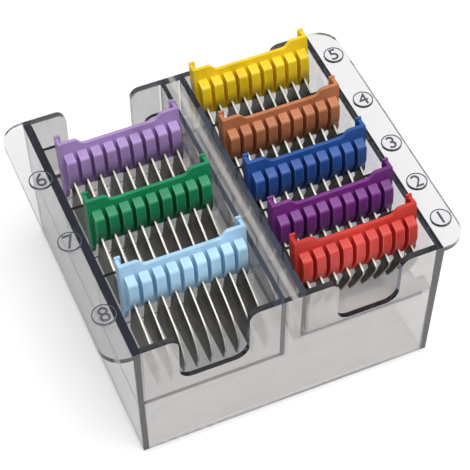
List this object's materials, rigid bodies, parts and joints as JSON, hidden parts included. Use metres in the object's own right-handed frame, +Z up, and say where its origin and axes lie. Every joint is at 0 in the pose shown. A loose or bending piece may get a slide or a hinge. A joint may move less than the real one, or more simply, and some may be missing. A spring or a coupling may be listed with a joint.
{
  "type": "clipper guide comb set",
  "caption": "Stainless-tine clipper guide combs with coloured plastic bodies and sprung blade catches, standing in a smoky clear two-bay tray with finger notches and end flanges.",
  "frame": {"origin": "centre of the tray at the lower edge of its skirt", "axes": "+X along the tray over its two flanges, with the five-pocket bay on that side; +Y toward the back wall; +Z up"},
  "size_m": [0.152, 0.1284, 0.0789],
  "materials": {
    "clear_plastic": "smoky clear, glossy, with darker edges",
    "red_plastic": "satin red",
    "purple_plastic": "satin purple",
    "blue_plastic": "satin blue",
    "copper_brown_plastic": "satin copper brown",
    "yellow_plastic": "satin yellow",
    "lavender_plastic": "satin lavender",
    "green_plastic": "satin green",
    "light_blue_plastic": "satin light blue",
    "tine_steel": "ground stainless, polished along the outer edge",
    "catch_steel": "brushed stamped sheet",
    "spring_steel": "drawn wire"
  },
  "bodies": {
    "tray": {"storage_tray": "clear_plastic"},
    "comb_1": {"comb_1_body": "red_plastic", "comb_1_tines": "tine_steel", "comb_1_catch_spring": "spring_steel"},
    "comb_1_catch": {"comb_1_blade_catch": "catch_steel"},
    "comb_2": {"comb_2_body": "purple_plastic", "comb_2_tines": "tine_steel", "comb_2_catch_spring": "spring_steel"},
    "comb_2_catch": {"comb_2_blade_catch": "catch_steel"},
    "comb_3": {"comb_3_body": "blue_plastic", "comb_3_tines": "tine_steel", "comb_3_catch_spring": "spring_steel"},
    "comb_3_catch": {"comb_3_blade_catch": "catch_steel"},
    "comb_4": {"comb_4_body": "copper_brown_plastic", "comb_4_tines": "tine_steel", "comb_4_catch_spring": "spring_steel"},
    "comb_4_catch": {"comb_4_blade_catch": "catch_steel"},
    "comb_5": {"comb_5_body": "yellow_plastic", "comb_5_tines": "tine_steel", "comb_5_catch_spring": "spring_steel"},
    "comb_5_catch": {"comb_5_blade_catch": "catch_steel"},
    "comb_6": {"comb_6_body": "lavender_plastic", "comb_6_tines": "tine_steel", "comb_6_catch_spring": "spring_steel"},
    "comb_6_catch": {"comb_6_blade_catch": "catch_steel"},
    "comb_7": {"comb_7_body": "green_plastic", "comb_7_tines": "tine_steel", "comb_7_catch_spring": "spring_steel"},
    "comb_7_catch": {"comb_7_blade_catch": "catch_steel"},
    "comb_8": {"comb_8_body": "light_blue_plastic", "comb_8_tines": "tine_steel", "comb_8_catch_spring": "spring_steel"},
    "comb_8_catch": {"comb_8_blade_catch": "catch_steel"}
  },
  "joints": [
    {"name": "comb_1_lift", "type": "slide", "parent": "tray", "child": "comb_1", "axis": [0, 0, 1], "range_m": [0, 0.045]},
    {"name": "comb_1_catch_slide", "type": "slide", "parent": "comb_1", "child": "comb_1_catch", "axis": [0, 0.1392, 0.9903], "range_m": [0, 0.0024], "stiffness_N_per_m": 300, "springref_m": -0.004, "deforming": ["comb_1_catch_spring"]},
    {"name": "comb_2_lift", "type": "slide", "parent": "tray", "child": "comb_2", "axis": [0, 0, 1], "range_m": [0, 0.045]},
    {"name": "comb_2_catch_slide", "type": "slide", "parent": "comb_2", "child": "comb_2_catch", "axis": [0, 0.1045, 0.9945], "range_m": [0, 0.0024], "stiffness_N_per_m": 300, "springref_m": -0.004, "deforming": ["comb_2_catch_spring"]},
    {"name": "comb_3_lift", "type": "slide", "parent": "tray", "child": "comb_3", "axis": [0, 0, 1], "range_m": [0, 0.045]},
    {"name": "comb_3_catch_slide", "type": "slide", "parent": "comb_3", "child": "comb_3_catch", "axis": [0, 0.1045, 0.9945], "range_m": [0, 0.0024], "stiffness_N_per_m": 300, "springref_m": -0.004, "deforming": ["comb_3_catch_spring"]},
    {"name": "comb_4_lift", "type": "slide", "parent": "tray", "child": "comb_4", "axis": [0, 0, 1], "range_m": [0, 0.045]},
    {"name": "comb_4_catch_slide", "type": "slide", "parent": "comb_4", "child": "comb_4_catch", "axis": [0, 0.0872, 0.9962], "range_m": [0, 0.0024], "stiffness_N_per_m": 300, "springref_m": -0.004, "deforming": ["comb_4_catch_spring"]},
    {"name": "comb_5_lift", "type": "slide", "parent": "tray", "child": "comb_5", "axis": [0, 0, 1], "range_m": [0, 0.045]},
    {"name": "comb_5_catch_slide", "type": "slide", "parent": "comb_5", "child": "comb_5_catch", "axis": [0, 0.1822, 0.9833], "range_m": [0, 0.0024], "stiffness_N_per_m": 300, "springref_m": -0.004, "deforming": ["comb_5_catch_spring"]},
    {"name": "comb_6_lift", "type": "slide", "parent": "tray", "child": "comb_6", "axis": [0, 0, 1], "range_m": [0, 0.045]},
    {"name": "comb_6_catch_slide", "type": "slide", "parent": "comb_6", "child": "comb_6_catch", "axis": [0, 0.165, 0.9863], "range_m": [0, 0.0024], "stiffness_N_per_m": 300, "springref_m": -0.004, "deforming": ["comb_6_catch_spring"]},
    {"name": "comb_7_lift", "type": "slide", "parent": "tray", "child": "comb_7", "axis": [0, 0, 1], "range_m": [0, 0.045]},
    {"name": "comb_7_catch_slide", "type": "slide", "parent": "comb_7", "child": "comb_7_catch", "axis": [0, 0.1132, 0.9936], "range_m": [0, 0.0024], "stiffness_N_per_m": 300, "springref_m": -0.004, "deforming": ["comb_7_catch_spring"]},
    {"name": "comb_8_lift", "type": "slide", "parent": "tray", "child": "comb_8", "axis": [0, 0, 1], "range_m": [0, 0.045]},
    {"name": "comb_8_catch_slide", "type": "slide", "parent": "comb_8", "child": "comb_8_catch", "axis": [0, 0.1392, 0.9903], "range_m": [0, 0.0024], "stiffness_N_per_m": 300, "springref_m": -0.004, "deforming": ["comb_8_catch_spring"]}
  ]
}
